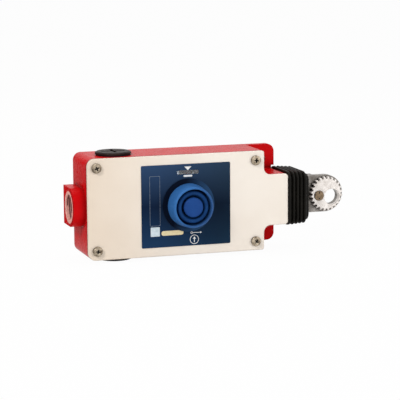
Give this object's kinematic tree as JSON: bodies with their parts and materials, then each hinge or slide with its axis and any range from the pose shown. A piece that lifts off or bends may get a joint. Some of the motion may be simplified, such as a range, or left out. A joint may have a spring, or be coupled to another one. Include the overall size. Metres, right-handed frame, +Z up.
{
  "type": "rope pull switch",
  "caption": "Rope pull safety switch: stepped cast case, blue reset pushbutton, tension window, ribbed bellows and a toothed rope eye on the pull rod.",
  "frame": {"origin": "middle of the four mounting holes, on the flat back face of the case", "axes": "+Z up the mounting wall, +X along the rope pull to the right, the cover faces -Y"},
  "size_m": [0.2039, 0.054, 0.0762],
  "materials": {
    "red_paint": "satin red powder coat on zinc casting",
    "cover_paint": "satin ivory lacquer on sheet",
    "label_blue": "matt printed foil",
    "clear_window": "clear polycarbonate",
    "blue_plastic": "moulded blue plastic",
    "blue_rubber": "matt blue rubber",
    "black_rubber": "matt black rubber",
    "zinc": "die cast zinc, tumbled",
    "zinc_light": "machined zinc plated",
    "steel": "zinc plated steel",
    "spring_steel": "spring steel",
    "brass": "turned brass",
    "grey_plastic": "moulded grey plastic",
    "dark_plastic": "moulded dark plastic",
    "grey_paint": "light grey indicator"
  },
  "bodies": {
    "case": {"housing": "red_paint", "cover_gasket": "black_rubber", "cover_plate": "cover_paint", "cover_screws": "steel", "front_label": "label_blue", "indicator_lens": "clear_window", "top_plug": "dark_plastic", "top_plug_seal": "black_rubber", "bottom_plug": "dark_plastic", "bottom_plug_seal": "black_rubber", "reset_seal": "black_rubber", "reset_bezel": "blue_plastic", "reset_nut": "zinc", "reset_boot": "blue_rubber", "reset_spring": "spring_steel", "guide_bush": "brass", "rod_wiper": "black_rubber", "bellows": "black_rubber", "spring_seat": "steel", "return_spring": "spring_steel", "contact_block_upper": "dark_plastic", "contact_spring_upper": "spring_steel", "contact_block_lower": "dark_plastic", "contact_spring_lower": "spring_steel", "terminal_clamps": "brass", "terminal_screws": "steel", "block_screws": "steel", "latch_bracket": "steel", "latch_pin": "steel", "earth_washer": "brass", "earth_screw": "steel"},
    "pull": {"pull_rod": "steel", "pull_head": "zinc", "head_pin": "steel", "eye_disc": "zinc_light", "eye_screw": "brass", "spring_collar": "steel", "rod_nuts": "steel", "contact_cam": "grey_plastic", "cam_pins": "steel", "tension_pointer": "grey_paint"},
    "reset": {"reset_button": "blue_plastic", "reset_plunger": "dark_plastic"},
    "latch": {"latch_lever": "steel"},
    "upper_contact": {"contact_plunger_upper": "grey_plastic"},
    "lower_contact": {"contact_plunger_lower": "grey_plastic"}
  },
  "joints": [
    {"name": "rod_pull", "type": "slide", "parent": "case", "child": "pull", "axis": [1, 0, 0], "range_m": [0, 0.012], "stiffness_N_per_m": 5000, "deforming": ["bellows", "return_spring"]},
    {"name": "reset_press", "type": "slide", "parent": "case", "child": "reset", "axis": [0, 1, 0], "range_m": [0, 0.0035], "stiffness_N_per_m": 1500, "deforming": ["reset_boot", "reset_spring"]},
    {"name": "latch_turn", "type": "hinge", "parent": "case", "child": "latch", "pos_m": [-0.0065, -0.0302, 0.014], "axis": [1, 0, 0], "range_deg": [0, 16.8]},
    {"name": "upper_contact_press", "type": "slide", "parent": "case", "child": "upper_contact", "axis": [0, 0, 1], "range_m": [0, 0.003], "deforming": ["contact_spring_upper"]},
    {"name": "lower_contact_press", "type": "slide", "parent": "case", "child": "lower_contact", "axis": [0, 0, -1], "range_m": [0, 0.003], "deforming": ["contact_spring_lower"]}
  ],
  "couplings": [
    {"joint": "latch_turn", "follows": "reset_press", "rad_per_m": 82},
    {"joint": "upper_contact_press", "follows": "rod_pull", "ratio": 0.25},
    {"joint": "lower_contact_press", "follows": "rod_pull", "ratio": 0.25}
  ]
}
